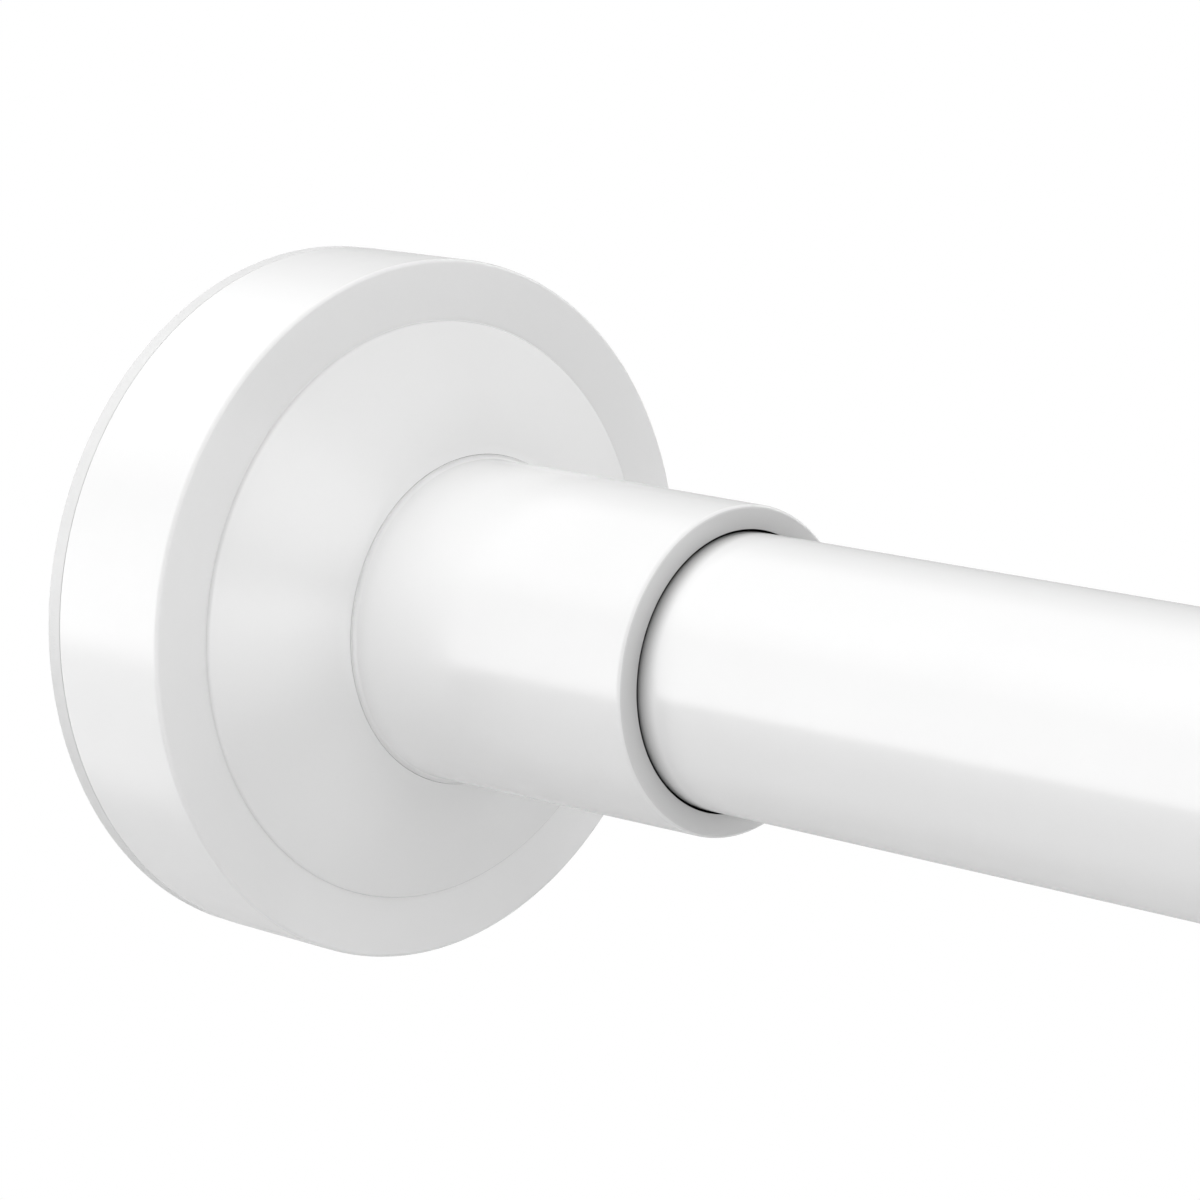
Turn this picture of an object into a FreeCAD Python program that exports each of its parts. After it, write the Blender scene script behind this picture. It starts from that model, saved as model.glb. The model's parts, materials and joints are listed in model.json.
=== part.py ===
import FreeCAD, Part
import math
import os

# Spring tension rod: two telescoping steel tubes between two round wall flanges.
# X runs along the rod and Z points up. The origin is the centre of the near grip pad's wall face.
# End A is the near flange, on the outer tube. End B is the far flange, on the inner tube.
# All sizes are in millimetres.

# Overall lengths, from one wall face to the other
SHORTEST_LENGTH = 710.0
LENGTH_TRAVEL = 390.0
REST_EXTENSION = 120.0
TUBE_OVERLAP = 80.0
CLOSED_GAP = 0.5

# Tubes
OUTER_TUBE_DIAMETER = 25.0
TUBE_WALL = 0.7
TELESCOPE_GAP = 0.8
CRIMP_WIDTH = 3.0
CRIMP_DEPTH = 0.5
CRIMP_FROM_END = 12.0

# Wall flange, seen from outside
PAD_THICKNESS = 1.8
PAD_EDGE = 0.25
PAD_GROOVES = 4
PAD_GROOVE_WIDTH = 1.4
PAD_GROOVE_DEPTH = 0.6
PAD_GROOVE_PITCH = 5.0
PAD_CENTRE_LAND = 9.0
COVER_DIAMETER = 66.4
COVER_FRONT = 15.75
COVER_WALL = 1.8
COVER_EDGE = 0.4
COVER_BACK_EDGE = 0.2
COVER_INNER_EDGE = 0.4
RING_WIDTH = 5.75
RING_CORNER = 0.12
FLARE_STEP = 0.3
FLARE_STEP_RUN = 0.05
FLARE_EDGE = 0.45
FLARE_RISE = 6.25
FLARE_SLOPE = 26.2
THROAT_SLOPE = 38.0
FLARE_RADIUS = 12.0
THROAT_BACK_RADIUS = 8.0
COVER_BORE_EDGE = 0.35
SNAP_DEPTH = 0.5
SNAP_LENGTH = 0.8
SNAP_RAMP = 0.5

# Socket base: a plate with a collar that holds the tube
COLLAR_REACH = 56.0
COLLAR_WALL = 2.2
COLLAR_DRAFT = 0.4
COLLAR_EDGE = 0.4
COLLAR_MOUTH_EDGE = 0.05
FOOT_WIDTH = 0.4
FOOT_PROUD = 0.1
BASE_PLATE = 2.5
SOCKET_FLOOR = 2.5
BASE_RIBS = 8
RIB_THICKNESS = 1.6
RIB_END_GAP = 1.5
RIB_TOE = 1.0

# Plugs, screws and washers at the tube ends
PLUG_HEAD = 1.5
PLUG_LENGTH = 22.0
PLUG_WALL = 2.0
PLUG_BOSS_DIAMETER = 9.0
PLUG_FLOOR = 3.0
PLUG_WEBS = 4
WEB_THICKNESS = 1.4
SCREW_DIAMETER = 4.0
SCREW_HEAD_DIAMETER = 8.0
SCREW_HEAD_HEIGHT = 2.2
SCREW_LENGTH = 18.0
SCREW_TIP = 2.5
SCREW_HEAD_EDGE = 0.9
RECESS_LENGTH = 4.4
RECESS_WIDTH = 0.9
RECESS_DEPTH = 1.2
END_WASHER_DIAMETER = 9.6
END_WASHER_THICKNESS = 0.8
REDUCER_INSET = 0.4
REDUCER_EDGE = 0.2

# Bush in the outer tube's mouth
MOUTH_LIP = 2.0
MOUTH_LIP_HEIGHT = 0.4
MOUTH_INSERT = 18.0
MOUTH_LIP_EDGE = 0.3

# Guide bush on the inner tube's hidden end
GUIDE_HEAD = 5.0
GUIDE_LENGTH = 26.0
GUIDE_WALL = 2.0
GUIDE_BOSS_DIAMETER = 13.0
GUIDE_FLOOR = 4.0

# Spring and spindle
SPRING_TRAVEL = 22.0
SPRING_LENGTH = 56.0
SPRING_DIAMETER = 18.0
SPRING_WIRE = 2.0
SPRING_TURNS = 10.5
SPINDLE_DIAMETER = 8.0
SPINDLE_FLATS = 6.4
SPINDLE_END_DIAMETER = 6.0
SPINDLE_EDGE = 0.6
SHOULDER_DIAMETER = 15.0
SHOULDER_LENGTH = 4.0
SEAT_WASHER_RIM = 1.0
SEAT_WASHER_THICKNESS = 1.6
THRUST_WASHER_DIAMETER = 17.0
THRUST_WASHER_THICKNESS = 1.2
STOP_WASHER_DIAMETER = 17.0
STOP_WASHER_THICKNESS = 1.6
NUT_FLATS_PER_BORE = 1.65
LOCK_NUT_HEIGHT = 6.5
STOP_NUT_HEIGHT = 5.0
SPINDLE_PAST_NUT = 1.5

# Twist lock: a cone drawn into a split sleeve
SLEEVE_LENGTH = 34.0
SLEEVE_MOUTH_DIAMETER = 18.6
SLEEVE_TAPER = 7.7
SLEEVE_EDGE = 0.4
TAPER_LENGTH = 20.0
SLEEVE_SLITS = 4
SLIT_WIDTH = 1.6
SLIT_LENGTH = 27.0
CONE_LENGTH = 20.0
CONE_PROUD = 5.0
CONE_GAP = 0.3
KEY_HEIGHT = 1.3
KEY_SIDE_GAP = 0.2
KEY_LENGTH = 10.0
RING_WIRE = 1.8
RING_FROM_END = 3.2

# Clearances
SOCKET_CLEARANCE = 0.2
FIT_CLEARANCE = 0.1
CLOSE_CLEARANCE = 0.05
END_PLAY = 0.1
LOOSE_HOLE = 0.3
COVER_CLEARANCE = 0.2
FOOT_CLEARANCE = 0.02
PAD_INSET = 0.05

# Sizes that follow from those above
TUBE_RADIUS = OUTER_TUBE_DIAMETER / 2
TUBE_BORE = TUBE_RADIUS - TUBE_WALL
INNER_TUBE_RADIUS = TUBE_BORE - TELESCOPE_GAP
INNER_TUBE_BORE = INNER_TUBE_RADIUS - TUBE_WALL
SOCKET_BORE = TUBE_RADIUS + SOCKET_CLEARANCE
COLLAR_RADIUS = SOCKET_BORE + COLLAR_WALL
COVER_RADIUS = COVER_DIAMETER / 2
RING_INNER = COVER_RADIUS - RING_WIDTH
ROOT_X = COVER_FRONT + FLARE_RISE
FOOT_FRONT = ROOT_X + FOOT_PROUD
COUNTERBORE_END = PAD_THICKNESS + LOOSE_HOLE + SCREW_HEAD_HEIGHT + END_WASHER_THICKNESS
FLOOR_FRONT = COUNTERBORE_END + SOCKET_FLOOR
TUBE_SEAT = FLOOR_FRONT + END_PLAY + PLUG_HEAD

REST_LENGTH = SHORTEST_LENGTH + REST_EXTENSION
MOUTH_FACE = SHORTEST_LENGTH - COLLAR_REACH - SPRING_TRAVEL - CLOSED_GAP
OUTER_TUBE_END = MOUTH_FACE - MOUTH_LIP
INNER_TUBE_START = OUTER_TUBE_END - TUBE_OVERLAP - LENGTH_TRAVEL + REST_EXTENSION
INNER_TUBE_END = REST_LENGTH - TUBE_SEAT

SPINDLE_RADIUS = SPINDLE_DIAMETER / 2
SPRING_END = INNER_TUBE_START - GUIDE_HEAD
SPRING_START = SPRING_END - SPRING_LENGTH
SHOULDER_END = SPRING_START - SEAT_WASHER_THICKNESS
SHOULDER_START = SHOULDER_END - SHOULDER_LENGTH
SLEEVE_END = SHOULDER_START - THRUST_WASHER_THICKNESS - END_PLAY
SLEEVE_START = SLEEVE_END - SLEEVE_LENGTH
SLEEVE_RADIUS = TUBE_BORE - FIT_CLEARANCE
CONE_START = SLEEVE_START - CONE_PROUD
LOCK_NUT_END = CONE_START - END_PLAY
LOCK_NUT_START = LOCK_NUT_END - LOCK_NUT_HEIGHT
SPINDLE_START = LOCK_NUT_START - SPINDLE_PAST_NUT
GUIDE_END = INNER_TUBE_START + GUIDE_LENGTH
STOP_WASHER_START = GUIDE_END + END_PLAY
STOP_NUT_START = STOP_WASHER_START + STOP_WASHER_THICKNESS
STOP_NUT_END = STOP_NUT_START + STOP_NUT_HEIGHT
SPINDLE_END = STOP_NUT_END + SPINDLE_PAST_NUT

VECTOR = FreeCAD.Vector
ALONG = VECTOR(1, 0, 0)
JOIN = 1e-6


def on_profile(x, radius):
    """A point of a turned outline: x along the axis, radius away from it."""
    return VECTOR(x, 0, radius)


def rounded_corner(before, corner, after):
    """Start, middle and end of the arc at one corner of an outline. A sharp corner has no middle."""
    at = on_profile(*corner[:2])
    rounding = corner[2]
    if rounding == 0:
        return at, None, at
    back = on_profile(*before[:2]) - at
    ahead = on_profile(*after[:2]) - at
    half = back.getAngle(ahead) / 2
    room_back = back.Length * rounding / (rounding + before[2])
    room_ahead = ahead.Length * rounding / (rounding + after[2])
    tangent = min(rounding / math.tan(half), room_back, room_ahead)
    radius = tangent * math.tan(half)
    back.normalize()
    ahead.normalize()
    towards_centre = (back + ahead).normalize()
    middle = at + towards_centre * (radius / math.sin(half) - radius)
    return at + back * tangent, middle, at + ahead * tangent


def turned(corners):
    """A solid turned about the rod's axis. Corners are (x, radius) or (x, radius, rounding)."""
    corners = [(*corner, 0.0)[:3] for corner in corners]
    count = len(corners)
    arcs = [
        rounded_corner(corners[i - 1], corners[i], corners[(i + 1) % count])
        for i in range(count)
    ]
    edges = []
    for i, (start, middle, end) in enumerate(arcs):
        if middle is not None:
            edges.append(Part.Arc(start, middle, end).toShape())
        following = arcs[(i + 1) % count][0]
        if end.distanceToPoint(following) > JOIN:
            edges.append(Part.LineSegment(end, following).toShape())
    return Part.Face(Part.Wire(edges)).revolve(VECTOR(), ALONG, 360)


def bar(start, end, radius):
    """A round bar on the axis."""
    return Part.makeCylinder(radius, end - start, VECTOR(start, 0, 0), ALONG)


def ring(start, end, outer, inner):
    """A plain ring or washer on the axis."""
    return turned([(start, inner), (end, inner), (end, outer), (start, outer)])


def block(start, end, low, high, thickness):
    """A flat web on the axis: from low to high in Z, with its thickness across Y."""
    corner = VECTOR(start, -thickness / 2, low)
    return Part.makeBox(end - start, thickness, high - low, corner)


def spun(shape, degrees):
    """A copy turned about the rod's axis."""
    copy = shape.copy()
    copy.rotate(VECTOR(), ALONG, degrees)
    return copy


def around(shape, count):
    """Copies spaced evenly round the rod's axis."""
    return [spun(shape, i * 360.0 / count) for i in range(count)]


def at_far_end(shape):
    """The same piece at end B, facing back along the rod."""
    copy = shape.copy()
    copy.rotate(VECTOR(), VECTOR(0, 0, 1), 180)
    copy.translate(VECTOR(REST_LENGTH, 0, 0))
    return copy


def grip_pad():
    """Rubber disc against the wall, with concentric grip grooves in its face."""
    radius = COVER_RADIUS - PAD_INSET
    pad = turned([
        (0, 0),
        (0, radius, PAD_EDGE),
        (PAD_THICKNESS, radius),
        (PAD_THICKNESS, 0),
    ])
    for i in range(PAD_GROOVES):
        inner = PAD_CENTRE_LAND + i * PAD_GROOVE_PITCH
        pad = pad.cut(ring(-1, PAD_GROOVE_DEPTH, inner + PAD_GROOVE_WIDTH, inner))
    return pad


def flare_corner(start, end):
    """Where the flare's shallow line from start meets the steep throat line into end."""
    shallow = math.radians(FLARE_SLOPE)
    steep = math.radians(THROAT_SLOPE)
    run_x = end[0] - start[0]
    run_r = start[1] - end[1]
    turn = math.sin(steep - shallow)
    along = (run_r * math.sin(steep) - run_x * math.cos(steep)) / turn
    return start[0] + along * math.sin(shallow), start[1] - along * math.cos(shallow)


def flange_cover():
    """One-piece moulded cover: straight rim, flat ring and a stepped flare that ends at the collar."""
    shallow = math.radians(FLARE_SLOPE)
    steep = math.radians(THROAT_SLOPE)
    bore = foot_radius() + FOOT_CLEARANCE
    root = (ROOT_X, bore)
    step = (COVER_FRONT + FLARE_STEP, RING_INNER - FLARE_STEP_RUN)
    corner = flare_corner(step, root)
    shared = COVER_WALL / (1 + math.cos(steep - shallow))
    back_x = corner[0] - shared * (math.cos(shallow) + math.cos(steep))
    back_r = corner[1] - shared * (math.sin(shallow) + math.sin(steep))
    throat_x = back_x + max(back_r - bore, 0) * math.tan(steep)
    back_step = step[0] - COVER_WALL / math.cos(shallow)
    back_front = COVER_FRONT - COVER_WALL
    rim_inner = COVER_RADIUS - COVER_WALL
    snap_end = PAD_THICKNESS + SNAP_LENGTH
    return turned([
        (PAD_THICKNESS, COVER_RADIUS, COVER_BACK_EDGE),
        (COVER_FRONT, COVER_RADIUS, COVER_EDGE),
        (COVER_FRONT, RING_INNER, RING_CORNER),
        (*step, FLARE_EDGE),
        (*corner, FLARE_RADIUS),
        (*root, COVER_BORE_EDGE),
        (throat_x, bore),
        (back_x, back_r, THROAT_BACK_RADIUS),
        (back_step, step[1]),
        (back_front, RING_INNER + COVER_WALL),
        (back_front, rim_inner, COVER_INNER_EDGE),
        (snap_end + SNAP_RAMP, rim_inner),
        (snap_end, rim_inner - SNAP_DEPTH),
        (PAD_THICKNESS, rim_inner - SNAP_DEPTH),
    ])


def collar_radius_at(x):
    """The collar's outer radius, which grows with the draft towards the wall."""
    return COLLAR_RADIUS + (COLLAR_REACH - x) * math.tan(math.radians(COLLAR_DRAFT))


def foot_radius():
    """The radius of the foot that the collar stands on, inside the cover's bore."""
    return collar_radius_at(FOOT_FRONT) + FOOT_WIDTH


def base_rib():
    """One radial rib between the base plate and the collar, under the cover."""
    plate_front = PAD_THICKNESS + BASE_PLATE
    top = COVER_FRONT - COVER_WALL - LOOSE_HOLE
    reach = COVER_RADIUS - COVER_WALL - RIB_END_GAP
    low = SOCKET_BORE + COLLAR_WALL / 2
    outline = [
        VECTOR(plate_front - RIB_TOE, -RIB_THICKNESS / 2, low),
        VECTOR(top, -RIB_THICKNESS / 2, low),
        VECTOR(top, -RIB_THICKNESS / 2, RING_INNER - RIB_END_GAP),
        VECTOR(plate_front + RIB_TOE, -RIB_THICKNESS / 2, reach),
        VECTOR(plate_front - RIB_TOE, -RIB_THICKNESS / 2, reach),
    ]
    face = Part.Face(Part.makePolygon(outline + outline[:1]))
    return face.extrude(VECTOR(0, RIB_THICKNESS, 0))


def socket_base():
    """Moulded base: a plate on the pad, a screw floor, ribs, and the footed collar that holds the tube."""
    edge = COVER_RADIUS - COVER_WALL - COVER_CLEARANCE
    relief = edge - SNAP_DEPTH
    plate_front = PAD_THICKNESS + BASE_PLATE
    relief_end = PAD_THICKNESS + SNAP_LENGTH + COVER_CLEARANCE
    screw_hole = SCREW_DIAMETER / 2 + FIT_CLEARANCE
    head_hole = END_WASHER_DIAMETER / 2 + LOOSE_HOLE
    body = turned([
        (PAD_THICKNESS, head_hole),
        (PAD_THICKNESS, relief),
        (relief_end, relief),
        (relief_end + SNAP_RAMP, edge),
        (plate_front, edge),
        (plate_front, foot_radius()),
        (FOOT_FRONT, foot_radius()),
        (FOOT_FRONT, collar_radius_at(FOOT_FRONT), FOOT_WIDTH),
        (COLLAR_REACH, COLLAR_RADIUS, COLLAR_EDGE),
        (COLLAR_REACH, SOCKET_BORE, COLLAR_MOUTH_EDGE),
        (FLOOR_FRONT, SOCKET_BORE),
        (FLOOR_FRONT, screw_hole),
        (COUNTERBORE_END, screw_hole),
        (COUNTERBORE_END, head_hole),
    ])
    return body.fuse(around(base_rib(), BASE_RIBS)).removeSplitter()


def reducer_sleeve():
    """Sleeve that fills the far socket round the thinner inner tube."""
    start = FLOOR_FRONT
    end = COLLAR_REACH - REDUCER_INSET
    outer = SOCKET_BORE - CLOSE_CLEARANCE
    inner = INNER_TUBE_RADIUS + SOCKET_CLEARANCE
    return turned([
        (start, inner),
        (end, inner, REDUCER_EDGE),
        (end, outer, REDUCER_EDGE),
        (start, outer),
    ])


def end_screw():
    """Pan-head screw from the wall side, through the base, into the tube's plug."""
    head_start = PAD_THICKNESS + LOOSE_HOLE
    head_end = head_start + SCREW_HEAD_HEIGHT
    tip = head_end + SCREW_LENGTH
    screw = turned([
        (head_start, 0),
        (head_start, SCREW_HEAD_DIAMETER / 2, SCREW_HEAD_EDGE),
        (head_end, SCREW_HEAD_DIAMETER / 2),
        (head_end, SCREW_DIAMETER / 2),
        (tip - SCREW_TIP, SCREW_DIAMETER / 2),
        (tip, 0),
    ])
    slot = block(head_start, head_start + RECESS_DEPTH, -RECESS_LENGTH / 2, RECESS_LENGTH / 2, RECESS_WIDTH)
    return screw.cut([slot, spun(slot, 90)])


def end_washer():
    """Washer between the screw's head and the socket floor."""
    start = COUNTERBORE_END - END_WASHER_THICKNESS
    hole = SCREW_DIAMETER / 2 + FIT_CLEARANCE
    return ring(start, COUNTERBORE_END, END_WASHER_DIAMETER / 2, hole)


def crimp_ring(middle, bore):
    """The space that a rolled crimp takes from a plug of a tube with this bore."""
    bottom = bore - CRIMP_DEPTH - FIT_CLEARANCE
    return turned([
        (middle - CRIMP_WIDTH / 2, bore),
        (middle - CRIMP_WIDTH / 4, bottom),
        (middle + CRIMP_WIDTH / 4, bottom),
        (middle + CRIMP_WIDTH / 2, bore),
    ])


def cored_plug(start, end, floor, radius, wall, boss):
    """A moulded plug body, cored out from its free end, with webs between its boss and its wall."""
    body = bar(start, end, radius)
    core = ring(start + floor, end, radius - wall, boss)
    webs = around(block(start, end, 0, radius, WEB_THICKNESS), PLUG_WEBS)
    return body.cut(core.cut(webs))


def end_plug(tube_radius):
    """Plug that closes a tube's end at the wall and takes the end screw."""
    bore = tube_radius - TUBE_WALL
    end = TUBE_SEAT + PLUG_LENGTH
    body = cored_plug(TUBE_SEAT, end, PLUG_FLOOR, bore - FIT_CLEARANCE, PLUG_WALL, PLUG_BOSS_DIAMETER / 2)
    head = bar(TUBE_SEAT - PLUG_HEAD, TUBE_SEAT, tube_radius - FIT_CLEARANCE)
    pilot = bar(TUBE_SEAT - PLUG_HEAD, end, SCREW_DIAMETER / 2 + CLOSE_CLEARANCE)
    crimp = crimp_ring(TUBE_SEAT + CRIMP_FROM_END, bore)
    return body.fuse(head).cut([pilot, crimp]).removeSplitter()


def crimped_tube(start, end, radius, crimps):
    """A thin tube with rolled crimps, given by their middles from start to end."""
    steps = [(-CRIMP_WIDTH / 2, 0), (-CRIMP_WIDTH / 4, CRIMP_DEPTH)]
    steps += [(CRIMP_WIDTH / 4, CRIMP_DEPTH), (CRIMP_WIDTH / 2, 0)]
    dents = [(middle + along, deep) for middle in crimps for along, deep in steps]
    outside = [(start, radius)] + [(x, radius - deep) for x, deep in dents] + [(end, radius)]
    inside = [(x, r - TUBE_WALL) for x, r in reversed(outside)]
    return turned(outside + inside)


def outer_tube():
    """Outer steel tube, crimped onto the near plug."""
    return crimped_tube(TUBE_SEAT, OUTER_TUBE_END, TUBE_RADIUS, [TUBE_SEAT + CRIMP_FROM_END])


def inner_tube():
    """Inner steel tube, crimped onto the guide bush and onto the far plug."""
    crimps = [INNER_TUBE_START + CRIMP_FROM_END, INNER_TUBE_END - CRIMP_FROM_END]
    return crimped_tube(INNER_TUBE_START, INNER_TUBE_END, INNER_TUBE_RADIUS, crimps)


def mouth_bush():
    """Lipped liner in the outer tube's mouth, which the inner tube slides through."""
    inner = INNER_TUBE_RADIUS + FIT_CLEARANCE
    liner = TUBE_BORE - CLOSE_CLEARANCE
    return turned([
        (OUTER_TUBE_END - MOUTH_INSERT, inner),
        (MOUTH_FACE, inner, MOUTH_LIP_EDGE),
        (MOUTH_FACE, TUBE_RADIUS + MOUTH_LIP_HEIGHT, MOUTH_LIP_EDGE),
        (OUTER_TUBE_END, TUBE_RADIUS + MOUTH_LIP_HEIGHT),
        (OUTER_TUBE_END, liner),
        (OUTER_TUBE_END - MOUTH_INSERT, liner),
    ])


def flatted_bar(start, end, radius, flats):
    """A round bar with two flats, one above and one below the axis."""
    return bar(start, end, radius).common(block(start, end, -flats / 2, flats / 2, 2 * radius))


def guide_bush():
    """Bush crimped into the inner tube's hidden end. Its flatted hole turns the spindle."""
    body = cored_plug(
        INNER_TUBE_START, GUIDE_END, GUIDE_FLOOR,
        INNER_TUBE_BORE - FIT_CLEARANCE, GUIDE_WALL, GUIDE_BOSS_DIAMETER / 2,
    )
    head = bar(SPRING_END, INNER_TUBE_START, SLEEVE_RADIUS)
    hole = flatted_bar(
        SPRING_END, GUIDE_END,
        SPINDLE_RADIUS + FIT_CLEARANCE, SPINDLE_FLATS + 2 * FIT_CLEARANCE,
    )
    crimp = crimp_ring(INNER_TUBE_START + CRIMP_FROM_END, INNER_TUBE_BORE)
    return body.fuse(head).cut([hole, crimp]).removeSplitter()


def spring():
    """Coil spring with open, ground ends, between the seat washer and the guide bush."""
    mean = (SPRING_DIAMETER - SPRING_WIRE) / 2
    pitch = SPRING_LENGTH / SPRING_TURNS
    height = SPRING_LENGTH + 2 * pitch
    helix = Part.makeHelix(pitch, height, mean)
    tangent = VECTOR(0, 2 * math.pi * mean, pitch)
    section = Part.Wire([Part.makeCircle(SPRING_WIRE / 2, VECTOR(mean, 0, 0), tangent)])
    coil = Part.Wire(helix.Edges).makePipeShell([section], True, True)
    coil.rotate(VECTOR(), VECTOR(0, 1, 0), 90)
    coil.translate(VECTOR(SPRING_START - pitch, 0, 0))
    return coil.common(bar(SPRING_START, SPRING_END, SPRING_DIAMETER))


def spindle():
    """Steel spindle: threaded for the lock, shouldered for the spring, flatted for the guide bush."""
    step = GUIDE_END + END_PLAY
    radius = SPINDLE_RADIUS
    end_radius = SPINDLE_END_DIAMETER / 2
    body = turned([
        (SPINDLE_START, 0),
        (SPINDLE_START, radius - SPINDLE_EDGE),
        (SPINDLE_START + SPINDLE_EDGE, radius),
        (SHOULDER_START, radius),
        (SHOULDER_START, SHOULDER_DIAMETER / 2),
        (SHOULDER_END, SHOULDER_DIAMETER / 2),
        (SHOULDER_END, radius),
        (step, radius),
        (step, end_radius),
        (SPINDLE_END - SPINDLE_EDGE, end_radius),
        (SPINDLE_END, end_radius - SPINDLE_EDGE),
        (SPINDLE_END, 0),
    ])
    above = block(SPRING_START, step, SPINDLE_FLATS / 2, radius, 2 * radius)
    return body.cut([above, spun(above, 180)])


def hex_nut(start, end, bore):
    """Hexagon nut on the axis, with its corners turned off at both faces."""
    flats = NUT_FLATS_PER_BORE * 2 * bore
    corner = flats / math.sqrt(3)
    turns = [math.radians(60 * i) for i in range(7)]
    outline = [VECTOR(start, corner * math.cos(t), corner * math.sin(t)) for t in turns]
    prism = Part.Face(Part.makePolygon(outline)).extrude(VECTOR(end - start, 0, 0))
    cut_back = (corner - flats / 2) / math.sqrt(3)
    blank = turned([
        (start, bore + CLOSE_CLEARANCE),
        (start, flats / 2),
        (start + cut_back, corner),
        (end - cut_back, corner),
        (end, flats / 2),
        (end, bore + CLOSE_CLEARANCE),
    ])
    return prism.common(blank)


def seat_washer():
    """Washer on the shoulder that the spring pushes against."""
    outer = SPRING_DIAMETER / 2 + SEAT_WASHER_RIM
    return ring(SHOULDER_END, SPRING_START, outer, SPINDLE_RADIUS + FIT_CLEARANCE)


def thrust_washer():
    """Washer between the shoulder and the lock sleeve."""
    start = SHOULDER_START - THRUST_WASHER_THICKNESS
    return ring(start, SHOULDER_START, THRUST_WASHER_DIAMETER / 2, SPINDLE_RADIUS + FIT_CLEARANCE)


def stop_washer():
    """Washer at the spindle's end that stops the guide bush."""
    hole = SPINDLE_END_DIAMETER / 2 + FIT_CLEARANCE
    return ring(STOP_WASHER_START, STOP_NUT_START, STOP_WASHER_DIAMETER / 2, hole)


def taper_radius(depth):
    """The radius of the sleeve's tapered bore, at a depth from its open end."""
    return SLEEVE_MOUTH_DIAMETER / 2 - depth * math.tan(math.radians(SLEEVE_TAPER))


def drag_ring_middle():
    """Where the rubber ring sits along the rod."""
    return SLEEVE_END - RING_FROM_END


def lock_sleeve():
    """Split nylon sleeve with a tapered bore. The cone spreads it against the outer tube."""
    hole = SPINDLE_RADIUS + LOOSE_HOLE
    body = turned([
        (SLEEVE_START, taper_radius(0)),
        (SLEEVE_START + TAPER_LENGTH, taper_radius(TAPER_LENGTH)),
        (SLEEVE_START + SLIT_LENGTH, taper_radius(TAPER_LENGTH)),
        (SLEEVE_START + SLIT_LENGTH, hole),
        (SLEEVE_END, hole),
        (SLEEVE_END, SLEEVE_RADIUS, SLEEVE_EDGE),
        (SLEEVE_START, SLEEVE_RADIUS, SLEEVE_EDGE),
    ])
    slit = block(SLEEVE_START, SLEEVE_START + SLIT_LENGTH, 0, TUBE_BORE, SLIT_WIDTH)
    middle = drag_ring_middle()
    half = RING_WIRE / 2 + CLOSE_CLEARANCE
    bottom = TUBE_BORE - 2 * CLOSE_CLEARANCE - RING_WIRE
    groove = ring(middle - half, middle + half, TUBE_BORE, bottom)
    return body.cut(around(slit, SLEEVE_SLITS) + [groove])


def drag_ring():
    """Rubber ring in the sleeve's groove. It keeps the sleeve from turning in the outer tube."""
    mean = TUBE_BORE - CLOSE_CLEARANCE - RING_WIRE / 2
    middle = VECTOR(drag_ring_middle(), 0, 0)
    return Part.makeTorus(mean, RING_WIRE / 2, middle, ALONG)


def lock_cone():
    """Cone nut on the spindle's thread, with keys that ride in two of the sleeve's slits."""
    hole = SPINDLE_RADIUS + FIT_CLEARANCE
    end = CONE_START + CONE_LENGTH
    cone = turned([
        (CONE_START, hole),
        (CONE_START, taper_radius(-CONE_PROUD) - CONE_GAP),
        (end, taper_radius(CONE_LENGTH - CONE_PROUD) - CONE_GAP),
        (end, hole),
    ])
    low = (hole + taper_radius(CONE_LENGTH)) / 2
    top = taper_radius(0) + KEY_HEIGHT
    key_end = CONE_START + CONE_PROUD + KEY_LENGTH
    key = block(CONE_START, key_end, low, top, SLIT_WIDTH - 2 * KEY_SIDE_GAP)
    return cone.fuse(around(key, 2)).removeSplitter()


def wall_flange(end, tube_radius):
    """The six pieces that both ends have, named for their end."""
    return {
        "grip_pad_" + end: grip_pad(),
        "socket_base_" + end: socket_base(),
        "flange_cover_" + end: flange_cover(),
        "end_screw_" + end: end_screw(),
        "end_washer_" + end: end_washer(),
        "end_plug_" + end: end_plug(tube_radius),
    }


def pieces():
    """Every piece of the rod, by its name."""
    found = wall_flange("a", TUBE_RADIUS)
    far = wall_flange("b", INNER_TUBE_RADIUS)
    far["reducer_sleeve_b"] = reducer_sleeve()
    found.update({name: at_far_end(shape) for name, shape in far.items()})
    found["outer_tube"] = outer_tube()
    found["mouth_bush"] = mouth_bush()
    found["lock_sleeve"] = lock_sleeve()
    found["drag_ring"] = drag_ring()
    found["lock_cone"] = lock_cone()
    found["lock_stop_nut"] = hex_nut(LOCK_NUT_START, LOCK_NUT_END, SPINDLE_RADIUS)
    found["spindle"] = spindle()
    found["thrust_washer"] = thrust_washer()
    found["spring_seat_washer"] = seat_washer()
    found["spring"] = spring()
    found["guide_bush"] = guide_bush()
    found["travel_stop_washer"] = stop_washer()
    found["travel_stop_nut"] = hex_nut(STOP_NUT_START, STOP_NUT_END, SPINDLE_END_DIAMETER / 2)
    found["inner_tube"] = inner_tube()
    return found


def main():
    os.makedirs("parts", exist_ok=True)
    for name, shape in pieces().items():
        solids = shape.Solids
        if len(solids) != 1 or not shape.isValid():
            raise ValueError(f"{name} is not one valid solid")
        solids[0].exportStep(f"parts/{name}.step")


main()
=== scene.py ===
"""A spring tension rod: two white telescoping tubes between two round wall flanges.

Lengths are in metres unless a name says otherwise. X runs along the rod and Z points up.
The near flange stands at x = 0. The outlines of turned pieces are in millimetres, as on a drawing.
"""
import json
import math

import bpy
import numpy as np
from mathutils import Matrix, Vector


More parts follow.
